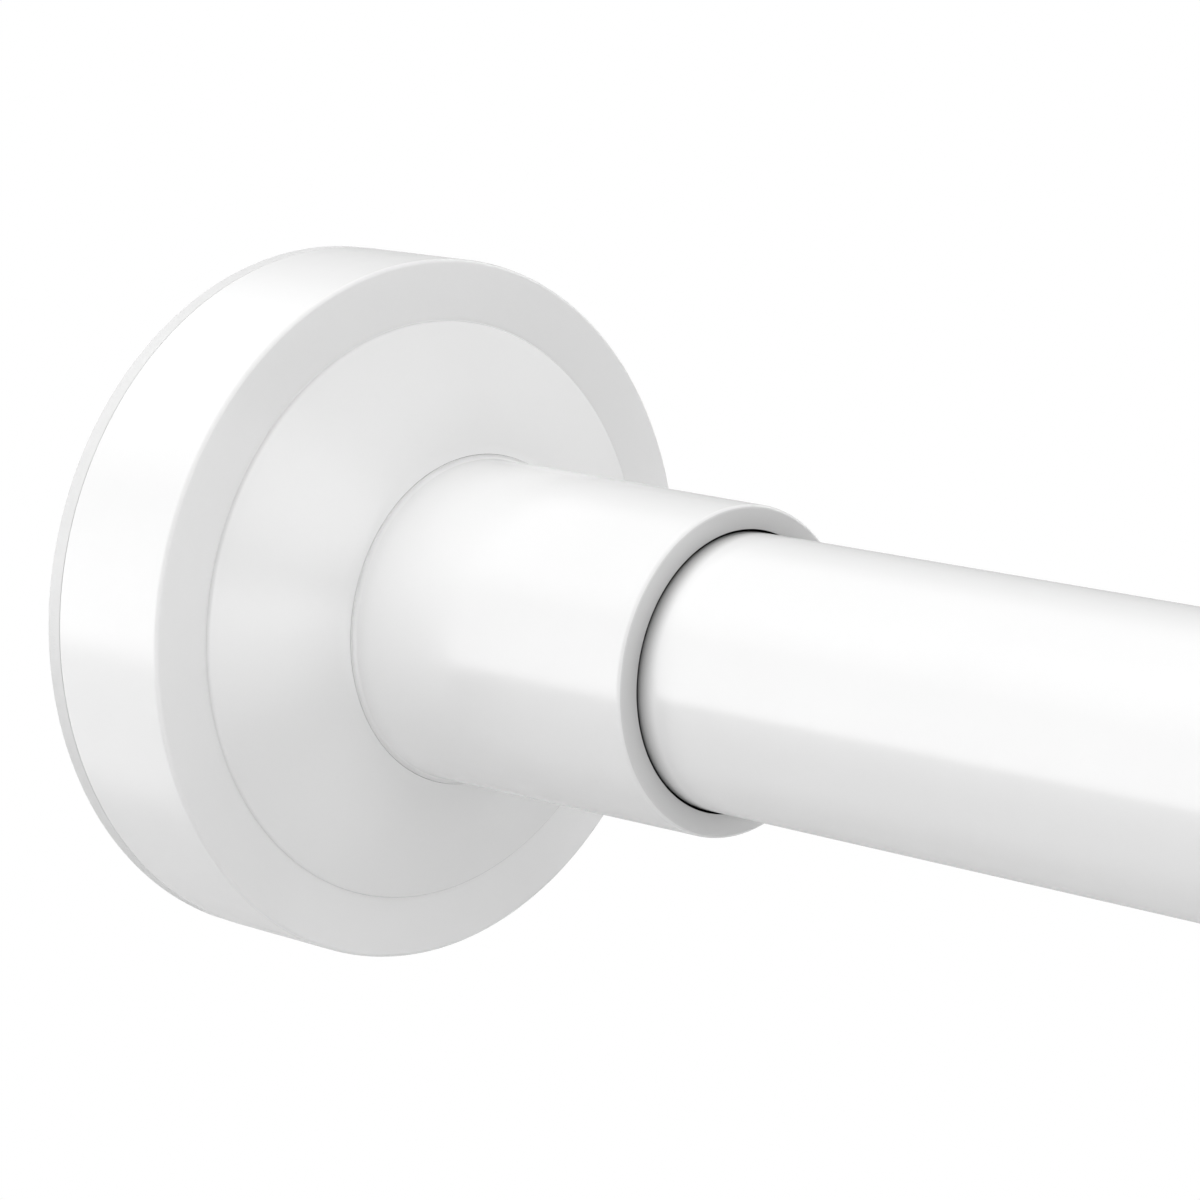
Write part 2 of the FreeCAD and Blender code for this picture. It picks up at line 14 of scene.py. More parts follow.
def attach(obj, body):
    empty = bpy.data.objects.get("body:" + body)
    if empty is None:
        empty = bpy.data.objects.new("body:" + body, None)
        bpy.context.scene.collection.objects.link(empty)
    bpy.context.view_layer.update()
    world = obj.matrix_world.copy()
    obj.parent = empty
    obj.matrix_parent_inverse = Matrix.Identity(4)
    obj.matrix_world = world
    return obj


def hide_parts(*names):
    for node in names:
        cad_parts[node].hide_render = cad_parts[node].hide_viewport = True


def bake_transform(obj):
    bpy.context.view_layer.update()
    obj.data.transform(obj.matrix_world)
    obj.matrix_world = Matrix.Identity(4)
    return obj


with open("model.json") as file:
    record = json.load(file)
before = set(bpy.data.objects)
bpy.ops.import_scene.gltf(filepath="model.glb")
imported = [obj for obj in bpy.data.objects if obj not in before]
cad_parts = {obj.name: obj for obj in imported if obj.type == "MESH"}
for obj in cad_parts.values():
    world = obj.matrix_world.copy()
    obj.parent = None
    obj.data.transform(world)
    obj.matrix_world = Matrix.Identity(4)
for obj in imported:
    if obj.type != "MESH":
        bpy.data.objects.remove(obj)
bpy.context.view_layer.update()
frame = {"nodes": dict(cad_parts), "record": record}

MM = 0.001
TINY = 1e-9

# How finely the surfaces are divided
SEGMENTS = 192
ARC_STEPS = 8
WIRE_SEGMENTS = 20
WIRE_STEPS_PER_TURN = 40

# Sizes shared with the solids, in millimetres, and slopes in degrees from the wall
ROD_LENGTH = 830.0
OUTER_TUBE_RADIUS = 12.5
INNER_TUBE_RADIUS = 11.0
TUBE_WALL = 0.7
CRIMP_DEPTH = 0.5
CRIMP_WIDTH = 3.0
CRIMP_FROM_END = 12.0
PAD_RADIUS = 33.15
PAD_THICKNESS = 1.8
GROOVE_RADII = (9.0, 14.0, 19.0, 24.0)
GROOVE_WIDTH = 1.4
GROOVE_DEPTH = 0.6
COVER_RADIUS = 33.2
COVER_FRONT = 15.75
COVER_WALL = 1.8
RING_INNER = 27.45
FLARE_STEP = 0.3
FLARE_STEP_RUN = 0.05
FLARE_SLOPE = 26.2
THROAT_SLOPE = 38.0
ROOT_X = 22.0
COVER_BORE = 15.557
SNAP_DEPTH = 0.5
SNAP_LENGTH = 0.8
SNAP_RAMP = 0.5
BASE_FRONT = 4.3
BASE_RADIUS = 31.2
BASE_NECK_LENGTH = 1.0
COLLAR_REACH = 56.0
COLLAR_RADIUS = 14.9
FOOT_FRONT = 22.1
FOOT_RADIUS = 15.537
FOOT_WIDTH = 0.4
SOCKET_BORE = 12.7
COUNTERBORE_END = 5.1
COUNTERBORE_RADIUS = 5.1
SCREW_HOLE_RADIUS = 2.1
SOCKET_FLOOR = 7.6
TUBE_SEAT = 9.2
INNER_TUBE_START = 279.5
MOUTH_FACE = 631.5
MOUTH_LIP = 2.0
MOUTH_LIP_HEIGHT = 0.4
MOUTH_INSERT = 18.0
REDUCER_INSET = 0.4
CLOSE_CLEARANCE = 0.05
FIT_CLEARANCE = 0.1
SOCKET_CLEARANCE = 0.2
SPRING_START = 218.5
SPRING_END = 274.5
SPRING_RADIUS = 8.0
SPRING_WIRE_RADIUS = 1.0
SPRING_TURNS = 10.5
SPRING_PITCH = (SPRING_END - SPRING_START) / SPRING_TURNS

# Roundings of the turned outlines, in millimetres
FINE_EDGE = 0.1
PAD_EDGE = 0.25
GROOVE_EDGE = 0.15
COVER_BACK_EDGE = 0.2
COVER_EDGE = 0.4
COVER_INNER_EDGE = 0.4
COVER_BORE_EDGE = 0.35
RING_CORNER = 0.12
FLARE_EDGE = 0.45
FLARE_RADIUS = 12.0
THROAT_BACK_RADIUS = 8.0
PLATE_CORNER = 0.3
FOOT_EDGE = 0.03
FOOT_FILLET = 0.37
COLLAR_EDGE = 0.4
COLLAR_MOUTH_EDGE = 0.05
SOCKET_CORNER = 0.2
REDUCER_EDGE = 0.2
TUBE_EDGE = 0.15
CRIMP_EDGE = 0.6
LIP_OUTER_EDGE = 0.4
LIP_INNER_EDGE = 0.3
LIP_BACK_EDGE = 0.05

# Outline of a crimp, as shares of its width and its depth
CRIMP_PROFILE = ((-0.5, 0.0), (-0.25, 1.0), (0.25, 1.0), (0.5, 0.0))


def smooth_mesh(name, points, faces, normals):
    """A mesh of points in metres, with a normal of its own at each point."""
    mesh = bpy.data.meshes.new(name)
    mesh.from_pydata(points, [], faces)
    mesh.shade_smooth()
    mesh.normals_split_custom_set_from_vertices(normals)
    return mesh


def placed(name, data):
    """An object with the given mesh, lamp or camera, put into the scene."""
    made = bpy.data.objects.new(name, data)
    bpy.context.scene.collection.objects.link(made)
    return made


def rounded_outline(corners):
    """Points and outward normals of a closed outline, with its corners rounded.

    A corner is (x, r, radius). Its arc touches both sides at radius / tan(half the corner's
    angle), about a centre that lies radius / sin(half the angle) along the line that halves the
    corner. Where two arcs meet on a side, each has the share of it that its radius has of both.
    The material is on the right of the line, so a side's outward normal is on its left.
    A corner on the axis stays sharp and takes the normal of the side that leaves the axis.
    """
    at = np.array([corner[:2] for corner in corners], float)
    rounding = np.array([corner[2] for corner in corners], float)
    back = np.roll(at, 1, axis=0) - at
    ahead = np.roll(at, -1, axis=0) - at
    back_length = np.linalg.norm(back, axis=1)
    ahead_length = np.linalg.norm(ahead, axis=1)
    back_share = rounding / np.maximum(rounding + np.roll(rounding, 1), TINY)
    ahead_share = rounding / np.maximum(rounding + np.roll(rounding, -1), TINY)
    room = np.minimum(back_length * back_share, ahead_length * ahead_share)
    back /= back_length[:, None]
    ahead /= ahead_length[:, None]
    half = np.arccos(np.clip((back * ahead).sum(axis=1), -1, 1)) / 2
    radius = np.minimum(rounding, room * np.tan(half))
    bisector = back + ahead
    bisector /= np.maximum(np.linalg.norm(bisector, axis=1), TINY)[:, None]
    centre = at + bisector * (radius / np.sin(half))[:, None]
    side_in = np.stack([back[:, 1], -back[:, 0]], axis=1)
    side_out = np.stack([-ahead[:, 1], ahead[:, 0]], axis=1)
    cross = side_in[:, 0] * side_out[:, 1] - side_in[:, 1] * side_out[:, 0]
    sweep = np.arctan2(cross, (side_in * side_out).sum(axis=1))
    start = np.arctan2(side_in[:, 1], side_in[:, 0])
    angle = start[:, None] + sweep[:, None] * np.linspace(0, 1, ARC_STEPS + 1)
    normals = np.stack([np.cos(angle), np.sin(angle)], axis=2)
    bulge = np.where(cross < 0, radius, -radius)
    points = centre[:, None] + normals * bulge[:, None, None]
    kept = np.ones(angle.shape, bool)
    for i in np.flatnonzero(at[:, 1] == 0):
        kept[i, 1:] = False
        points[i, 0] = at[i]
        leaves = side_out[i] if abs(side_out[i, 0]) > abs(side_in[i, 0]) else side_in[i]
        normals[i, 0] = leaves
    return points[kept], normals[kept]


def spun_mesh(name, points, normals):
    """A surface of revolution: an outline point (x, r) goes to (x, r sin a, r cos a).

    A point on the axis gives one vertex, so the pole is closed by triangles.
    """
    angle = np.linspace(0, 2 * math.pi, SEGMENTS, endpoint=False)
    pole = points[:, 1] < TINY
    sizes = np.where(pole, 1, SEGMENTS)
    first = np.cumsum(sizes) - sizes
    column = np.arange(SEGMENTS)
    index = first[:, None] + np.where(pole[:, None], 0, column)
    shown = np.where(pole[:, None], column == 0, True)

    def carried(pairs):
        x = pairs[:, :1] * np.ones(SEGMENTS)
        y = pairs[:, 1:] * np.sin(angle)
        z = pairs[:, 1:] * np.cos(angle)
        return np.stack([x, y, z], axis=2)[shown]

    ahead = np.roll(index, -1, axis=0)
    quads = [index, ahead, np.roll(ahead, -1, axis=1), np.roll(index, -1, axis=1)]
    quads = np.stack(quads, axis=2)
    pole_ahead = np.roll(pole, -1)
    whole = quads[~pole & ~pole_ahead].reshape(-1, 4)
    fan_out = quads[pole & ~pole_ahead].reshape(-1, 4)[:, [0, 1, 2]]
    fan_in = quads[~pole & pole_ahead].reshape(-1, 4)[:, [0, 1, 3]]
    faces = whole.tolist() + fan_out.tolist() + fan_in.tolist()
    return smooth_mesh(name, carried(points * MM), faces, carried(normals))


def coil_mesh(name):
    """The coil spring: a circle across the wire, carried along the helix (x, R sin a, R cos a).

    The circle lies in the plane of the helix's radius n and of t x n, where t is the wire's
    direction. Each end is closed by a flat disc that faces along the wire.
    """
    turns = (SPRING_END - SPRING_START - 2 * SPRING_WIRE_RADIUS) / SPRING_PITCH
    a = np.linspace(0, 2 * math.pi * turns, round(turns * WIRE_STEPS_PER_TURN))[:, None]
    rise = SPRING_PITCH / (2 * math.pi)
    y, z = SPRING_RADIUS * np.sin(a), SPRING_RADIUS * np.cos(a)
    centre = np.hstack([SPRING_START + SPRING_WIRE_RADIUS + rise * a, y, z])
    along = np.hstack([np.full_like(a, rise), z, -y])
    along /= np.linalg.norm(along, axis=1)[:, None]
    out = np.hstack([np.zeros_like(a), np.sin(a), np.cos(a)])
    side = np.cross(along, out)
    b = np.linspace(0, 2 * math.pi, WIRE_SEGMENTS, endpoint=False)[None, :, None]
    normals = np.cos(b) * out[:, None] + np.sin(b) * side[:, None]
    points = centre[:, None] + SPRING_WIRE_RADIUS * normals
    index = np.arange(points.shape[0] * WIRE_SEGMENTS).reshape(-1, WIRE_SEGMENTS)
    across = np.roll(index, -1, axis=1)
    quads = np.stack([index[:-1], index[1:], across[1:], across[:-1]], axis=2).reshape(-1, 4)
    discs = index[:2] + index.size
    faces = quads.tolist() + [discs[0].tolist(), discs[1, ::-1].tolist()]
    points = np.vstack([points.reshape(-1, 3), points[0], points[-1]])
    ends = np.repeat([-along[0], along[-1]], WIRE_SEGMENTS, axis=0)
    return smooth_mesh(name, points * MM, faces, np.vstack([normals.reshape(-1, 3), ends]))


def turned(name, corners, body, slot_name, finish, *nodes):
    """A piece turned about the rod's axis, in place of the plain solids of the same shape."""
    made = placed(name, spun_mesh(name, *rounded_outline(corners)))
    made.data.materials.append(finish)
    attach(made, body)
    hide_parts(*nodes)
    return made


def at_far_end(corners):
    """The outline at the far end, run the other way so that the material stays on its right."""
    return [(ROD_LENGTH - x, r, rounding) for x, r, rounding in reversed(corners)]


def pad_outline():
    """Rubber disc with four rounded grip grooves in the face that meets the wall."""
    grooves = []
    for inner in GROOVE_RADII:
        outer = inner + GROOVE_WIDTH
        sides = ((0, inner), (GROOVE_DEPTH, inner), (GROOVE_DEPTH, outer), (0, outer))
        grooves += [(x, r, GROOVE_EDGE) for x, r in sides]
    return [
        (0, 0, 0),
        *grooves,
        (0, PAD_RADIUS, PAD_EDGE),
        (PAD_THICKNESS, PAD_RADIUS, FINE_EDGE),
        (PAD_THICKNESS, 0, 0),
    ]


def cover_outline():
    """Straight rim, flat ring and stepped flare, whose two lines meet at one wide arc.

    The lines run from the step at the shallow slope and to the bore at the steep one. They meet
    where the shallow one is (run_r sin steep - run_x cos steep) / sin(steep - shallow) long. The
    back's lines lie one wall behind them, with a snap rim inside the edge at the wall.
    """
    shallow = math.radians(FLARE_SLOPE)
    steep = math.radians(THROAT_SLOPE)
    step_x = COVER_FRONT + FLARE_STEP
    run_x = ROOT_X - step_x
    step_r = RING_INNER - FLARE_STEP_RUN
    run_r = step_r - COVER_BORE
    along = (run_r * math.sin(steep) - run_x * math.cos(steep)) / math.sin(steep - shallow)
    bend_x = step_x + along * math.sin(shallow)
    bend_r = step_r - along * math.cos(shallow)
    shared = COVER_WALL / (1 + math.cos(steep - shallow))
    back_x = bend_x - shared * (math.cos(shallow) + math.cos(steep))
    back_r = bend_r - shared * (math.sin(shallow) + math.sin(steep))
    throat_x = back_x + (back_r - COVER_BORE) * math.tan(steep)
    rim_inner = COVER_RADIUS - COVER_WALL
    back_front = COVER_FRONT - COVER_WALL
    return [
        (PAD_THICKNESS, COVER_RADIUS, COVER_BACK_EDGE),
        (COVER_FRONT, COVER_RADIUS, COVER_EDGE),
        (COVER_FRONT, RING_INNER, RING_CORNER),
        (step_x, step_r, FLARE_EDGE),
        (bend_x, bend_r, FLARE_RADIUS),
        (ROOT_X, COVER_BORE, COVER_BORE_EDGE),
        (throat_x, COVER_BORE, FINE_EDGE),
        (back_x, back_r, THROAT_BACK_RADIUS),
        (step_x - COVER_WALL / math.cos(shallow), step_r, FINE_EDGE),
        (back_front, RING_INNER + COVER_WALL, FINE_EDGE),
        (back_front, rim_inner, COVER_INNER_EDGE),
        (PAD_THICKNESS + SNAP_LENGTH + SNAP_RAMP, rim_inner, FINE_EDGE),
        (PAD_THICKNESS + SNAP_LENGTH, rim_inner - SNAP_DEPTH, FINE_EDGE),
        (PAD_THICKNESS, rim_inner - SNAP_DEPTH, FINE_EDGE),
    ]


def base_outline():
    """Plate on the pad, screw floor with its counterbore, and the long collar on its foot."""
    neck = BASE_RADIUS - SNAP_DEPTH
    neck_end = PAD_THICKNESS + BASE_NECK_LENGTH
    return [
        (PAD_THICKNESS, COUNTERBORE_RADIUS, FINE_EDGE),
        (PAD_THICKNESS, neck, FINE_EDGE),
        (neck_end, neck, FINE_EDGE),
        (neck_end + SNAP_RAMP, BASE_RADIUS, FINE_EDGE),
        (BASE_FRONT, BASE_RADIUS, FINE_EDGE),
        (BASE_FRONT, FOOT_RADIUS, PLATE_CORNER),
        (FOOT_FRONT, FOOT_RADIUS, FOOT_EDGE),
        (FOOT_FRONT, FOOT_RADIUS - FOOT_WIDTH, FOOT_FILLET),
        (COLLAR_REACH, COLLAR_RADIUS, COLLAR_EDGE),
        (COLLAR_REACH, SOCKET_BORE, COLLAR_MOUTH_EDGE),
        (SOCKET_FLOOR, SOCKET_BORE, SOCKET_CORNER),
        (SOCKET_FLOOR, SCREW_HOLE_RADIUS, FINE_EDGE),
        (COUNTERBORE_END, SCREW_HOLE_RADIUS, FINE_EDGE),
        (COUNTERBORE_END, COUNTERBORE_RADIUS, FINE_EDGE),
    ]


def reducer_outline():
    """A plain sleeve that fills a socket round the smaller tube, with both its ends rounded."""
    front = COLLAR_REACH - REDUCER_INSET
    outer = SOCKET_BORE - CLOSE_CLEARANCE
    inner = INNER_TUBE_RADIUS + SOCKET_CLEARANCE
    sides = ((SOCKET_FLOOR, inner), (SOCKET_FLOOR, outer), (front, outer), (front, inner))
    return [(x, r, REDUCER_EDGE) for x, r in sides]


def tube_outline(start, end, outer, crimps):
    """A thin tube whose wall dips inwards at each rolled crimp, with softly rolled edges."""
    front = []
    for middle in crimps:
        for along, deep in CRIMP_PROFILE:
            front.append((middle + along * CRIMP_WIDTH, outer - deep * CRIMP_DEPTH, CRIMP_EDGE))
    back = [(x, r - TUBE_WALL, rounding) for x, r, rounding in reversed(front)]
    return [
        (start, outer - TUBE_WALL, TUBE_EDGE),
        (start, outer, TUBE_EDGE),
        *front,
        (end, outer, TUBE_EDGE),
        (end, outer - TUBE_WALL, TUBE_EDGE),
        *back,
    ]


def bush_outline():
    """Liner in the outer tube's mouth, with a rounded lip over the tube's end."""
    lip = OUTER_TUBE_RADIUS + MOUTH_LIP_HEIGHT
    liner = OUTER_TUBE_RADIUS - TUBE_WALL - CLOSE_CLEARANCE
    inner = INNER_TUBE_RADIUS + FIT_CLEARANCE
    tube_end = MOUTH_FACE - MOUTH_LIP
    return [
        (tube_end - MOUTH_INSERT, inner, FINE_EDGE),
        (tube_end - MOUTH_INSERT, liner, FINE_EDGE),
        (tube_end, liner, LIP_BACK_EDGE),
        (tube_end, lip, FINE_EDGE),
        (MOUTH_FACE, lip, LIP_OUTER_EDGE),
        (MOUTH_FACE, inner, LIP_INNER_EDGE),
    ]


# Shader building blocks


class Nodes:
    """Adds shader nodes to one node tree and links values, sockets or vectors into their inputs."""

    def __init__(self, tree):
        self.tree = tree

    def add(self, kind, settings=None, **inputs):
        """A new node. An input is given by its name, or as _0, _1 and so on by its place."""
        node = self.tree.nodes.new(kind)
        for key, value in (settings or {}).items():
            setattr(node, key, value)
        for key, value in inputs.items():
            self.join(node.inputs[int(key[1:])] if key[1:].isdigit() else node.inputs[key], value)
        return node

    def join(self, socket, value):
        if isinstance(value, bpy.types.NodeSocket):
            self.tree.links.new(value, socket)
        else:
            socket.default_value = value

    def math(self, operation, a, b=0.0, c=0.0):
        node = self.add("ShaderNodeMath", {"operation": operation}, _0=a, _1=b, _2=c)
        return node.outputs[0]

    def noise(self, vector, scale, detail=2.0, roughness=0.5):
        node = self.add("ShaderNodeTexNoise", Vector=vector, Scale=scale, Detail=detail)
        self.join(node.inputs["Roughness"], roughness)
        return node.outputs["Fac"]

    def spread(self, value, low, high, how="LINEAR"):
        """A number that goes from 0 to 1 as the value goes from low to high, and stays there."""
        node = self.add("ShaderNodeMapRange", {"interpolation_type": how}, Value=value)
        node.inputs["From Min"].default_value = low
        node.inputs["From Max"].default_value = high
        return node.outputs[0]


def new_group(name, inputs, outputs):
    """An empty shader node group with named number inputs and outputs, and its two end nodes."""
    tree = bpy.data.node_groups.new(name, "ShaderNodeTree")
    for label, default in inputs.items():
        kind = "NodeSocketVector" if default is None else "NodeSocketFloat"
        socket = tree.interface.new_socket(label, in_out="INPUT", socket_type=kind)
        if default is not None:
            socket.default_value = default
    for label in outputs:
        tree.interface.new_socket(label, in_out="OUTPUT", socket_type="NodeSocketFloat")
    nodes = Nodes(tree)
    return nodes, nodes.add("NodeGroupInput").outputs, nodes.add("NodeGroupOutput").inputs


MM_PER_METRE = 1000.0
SHADE_SCALE = 55.0
HAZE_SCALE = 160.0
HAZE_RANGE = (0.3, 0.7)
TOOL_MARK_SCALE = 6500.0

# A thread's pitch, the lengths where it starts and ends, and the radius that it stays within
THREAD_INPUTS = ("Pitch", "Thread From", "Thread To", "Thread Radius")
NO_THREAD = (1.25, 0.0, 0.0, 4.1)
SPINDLE_THREAD = (1.25, 164.5, 211.0, 4.1)
NEAR_SCREW_THREAD = (1.4, 5.2, 23.0, 2.1)
FAR_SCREW_THREAD = (1.4, 807.0, 824.8, 2.1)


def moulded_skin_group():
    """Skin of a moulded or coated part.

    Height is broad shallow waviness plus a fine grain. Shade wanders slowly between 0 and 1 and
    Haze is a patchy mask for gloss. Both sizes are in millimetres.
    """
    nodes, given, put = new_group(
        "moulded_skin",
        {"Position": None, "Wave Size": 6.0, "Grain Size": 0.3, "Grain Share": 0.3},
        ["Height", "Shade", "Haze"],
    )
    place = given["Position"]
    wave_scale = nodes.math("DIVIDE", MM_PER_METRE, given["Wave Size"])
    grain_scale = nodes.math("DIVIDE", MM_PER_METRE, given["Grain Size"])
    wave = nodes.noise(place, wave_scale, detail=1.0)
    grain = nodes.noise(place, grain_scale, detail=3.0, roughness=0.6)
    nodes.join(put["Height"], nodes.math("MULTIPLY_ADD", grain, given["Grain Share"], wave))
    nodes.join(put["Shade"], nodes.noise(place, SHADE_SCALE, detail=3.0, roughness=0.55))
    patches = nodes.noise(place, HAZE_SCALE, detail=4.0, roughness=0.65)
    nodes.join(put["Haze"], nodes.spread(patches, *HAZE_RANGE))
    return nodes.tree


def turned_metal_group():
    """Tool marks of metal turned about the rod's axis.

    Marks are noise read at (x, distance from the axis, 0), drawn out round the axis, so they are
    fine rings. Thread is a triangular wave of x / pitch + angle / full turn, kept to the lengths
    between Thread From and Thread To where the surface lies within Thread Radius of the axis.
    """
    nodes, given, put = new_group(
        "turned_metal",
        {"Position": None, **dict(zip(THREAD_INPUTS, NO_THREAD))},
        ["Marks", "Thread", "Threaded"],
    )
    axes = nodes.add("ShaderNodeSeparateXYZ", Vector=given["Position"]).outputs
    x_mm = nodes.math("MULTIPLY", axes["X"], MM_PER_METRE)
    squares = [nodes.math("POWER", axes[name], 2.0) for name in "YZ"]
    away = nodes.math("SQRT", nodes.math("ADD", *squares))
    rings = nodes.add("ShaderNodeCombineXYZ", X=axes["X"], Y=away)
    marks = nodes.noise(rings.outputs[0], TOOL_MARK_SCALE, detail=2.0, roughness=0.6)
    nodes.join(put["Marks"], marks)
    turns = nodes.math("DIVIDE", nodes.math("ARCTAN2", axes["Y"], axes["Z"]), 2 * math.pi)
    phase = nodes.math("ADD", nodes.math("DIVIDE", x_mm, given["Pitch"]), turns)
    ridge = nodes.math("PINGPONG", phase, 0.5)
    after = nodes.math("GREATER_THAN", x_mm, given["Thread From"])
    before = nodes.math("LESS_THAN", x_mm, given["Thread To"])
    away_mm = nodes.math("MULTIPLY", away, MM_PER_METRE)
    near = nodes.math("LESS_THAN", away_mm, given["Thread Radius"])
    threaded = nodes.math("MULTIPLY", nodes.math("MULTIPLY", after, before), near)
    nodes.join(put["Threaded"], threaded)
    nodes.join(put["Thread"], nodes.math("MULTIPLY", ridge, threaded))
    return nodes.tree


def new_material(name):
    """A material with a Principled shader, the helper for its nodes, and Object coordinates."""
    made = bpy.data.materials.new(name)
    made.use_nodes = True
    nodes = Nodes(made.node_tree)
    shader = made.node_tree.nodes["Principled BSDF"]
    position = nodes.add("ShaderNodeTexCoord").outputs["Object"]
    return made, nodes, shader, position


def grey(level):
    """A colour with no tint."""
    return (level, level, level)


def between(nodes, mask, low, high):
    """A number that goes from low to high with a mask."""
    return nodes.math("MULTIPLY_ADD", mask, high - low, low)


def shaded_colour(nodes, mask, dark, light):
    """A colour that goes from dark to light with a mask."""
    mix = nodes.add("ShaderNodeMix", {"data_type": "RGBA"}, Factor=mask)
    for socket in mix.inputs:
        if socket.type == "RGBA":
            socket.default_value = (*(dark if socket.name == "A" else light), 1)
    return next(socket for socket in mix.outputs if socket.type == "RGBA")


# Painted shade on the collars' end faces, beside the tube
PAINTED_MOUTH_SHADE = 0.84
MOUTH_FACE_DEPTH = 0.05
# Painted shade in creases: how many rays measure how closed in a spot is
PAINTED_SHADE_SAMPLES = 8


def painted_mouth_shade(nodes, position):
    """Painted shade: the collars' end faces are painted a little greyer, as shade round the tube.

    The shade is PAINTED_MOUTH_SHADE where a point is nearer to the rod's middle than
    MOUTH_FACE_DEPTH behind a collar's end, and 1 elsewhere.
    """
    x = nodes.add("ShaderNodeSeparateXYZ", Vector=position).outputs["X"]
    half = ROD_LENGTH * MM / 2
    from_middle = nodes.math("ABSOLUTE", nodes.math("SUBTRACT", x, half))
    face = nodes.math("LESS_THAN", from_middle, half - (COLLAR_REACH - MOUTH_FACE_DEPTH) * MM)
    return between(nodes, face, 1.0, PAINTED_MOUTH_SHADE)


def skin_material(name, dark, light, roughness, waves, bump_mm, painted_crease_shade, extra_painted_shade=None):
    """White plastic, enamel or rubber: a colour that drifts a little, patchy gloss and a fine skin.

    The waves are the size of the waviness and of the grain, in millimetres, and the grain's share.
    The painted shade in creases is given as a reach in millimetres and a power: the colour is
    multiplied by the share of the view that is open within the reach, raised to the power, which
    paints darker shade into creases, corners and the joints between parts. An extra painted shade,
    when given, multiplies the colour too.
    """
    made, nodes, shader, position = new_material(name)
    skin = nodes.add("ShaderNodeGroup", {"node_tree": moulded_skin}, Position=position)
    for label, value in zip(("Wave Size", "Grain Size", "Grain Share"), waves):
        skin.inputs[label].default_value = value
    bump = nodes.add("ShaderNodeBump", Height=skin.outputs["Height"], Strength=1.0)
    bump.inputs["Distance"].default_value = bump_mm * MM
    open_colour = shaded_colour(nodes, skin.outputs["Shade"], dark, light)
    reach_mm, power = painted_crease_shade
    # Painted shade: the colour darkens where nearby surfaces close a spot in, standing in for shade
    # in creases and joints
    painted_shade_occlusion = nodes.add("ShaderNodeAmbientOcclusion", {"samples": PAINTED_SHADE_SAMPLES})
    painted_shade_occlusion.inputs["Distance"].default_value = reach_mm * MM
    kept = nodes.math("POWER", painted_shade_occlusion.outputs["AO"], power)
    if extra_painted_shade:
        kept = nodes.math("MULTIPLY", kept, extra_painted_shade(nodes, position))
    shade = nodes.add("ShaderNodeVectorMath", {"operation": "SCALE"}, _0=open_colour, Scale=kept)
    nodes.join(shader.inputs["Base Color"], shade.outputs[0])
    nodes.join(shader.inputs["Roughness"], between(nodes, skin.outputs["Haze"], *roughness))
    nodes.join(shader.inputs["Normal"], bump.outputs[0])
    return made


TOOL_MARK_MM = 0.01
# Painted shade in the thread grooves
GROOVE_PAINTED_SHADE = 0.5


def metal_material(name, dark, light, roughness, thread=NO_THREAD, thread_mm=0.0):
    """Turned or rolled steel with ring marks, and a thread where one is asked for.

    Thread marks go from 0 in the grooves to a half on the ridges. The grooves are painted darker,
    as painted shade.
    """
    made, nodes, shader, position = new_material(name)
    marks = nodes.add("ShaderNodeGroup", {"node_tree": turned_metal}, Position=position)
    for label, value in zip(THREAD_INPUTS, thread):
        marks.inputs[label].default_value = value
    skin = nodes.add("ShaderNodeGroup", {"node_tree": moulded_skin}, Position=position)
    fine = nodes.add("ShaderNodeBump", Height=marks.outputs["Marks"], Strength=0.5)
    fine.inputs["Distance"].default_value = TOOL_MARK_MM * MM
    cut = nodes.add("ShaderNodeBump", Height=marks.outputs["Thread"], Strength=1.0)
    cut.inputs["Distance"].default_value = thread_mm * MM
    nodes.join(cut.inputs["Normal"], fine.outputs[0])
    height = nodes.math("MULTIPLY", marks.outputs["Thread"], 2.0)
    grooves = nodes.math("MULTIPLY", marks.outputs["Threaded"], nodes.math("SUBTRACT", 1.0, height))
    # Painted shade: the thread's grooves are darkened
    painted_groove_shade = nodes.math("MULTIPLY", grooves, GROOVE_PAINTED_SHADE)
    tone = nodes.math("SUBTRACT", skin.outputs["Shade"], painted_groove_shade)
    nodes.join(shader.inputs["Base Color"], shaded_colour(nodes, tone, dark, light))
    nodes.join(shader.inputs["Roughness"], between(nodes, marks.outputs["Marks"], *roughness))
    nodes.join(shader.inputs["Normal"], cut.outputs[0])
    shader.inputs["Metallic"].default_value = 1.0
    return made


moulded_skin = moulded_skin_group()
turned_metal = turned_metal_group()

MOULDED = {"roughness": (0.12, 0.18), "waves": (5.0, 0.35, 0.12), "bump_mm": 0.012}
THREADED_STEEL = {
    "dark": (0.42, 0.44, 0.46),
    "light": (0.74, 0.75, 0.77),
    "roughness": (0.20, 0.38),
}

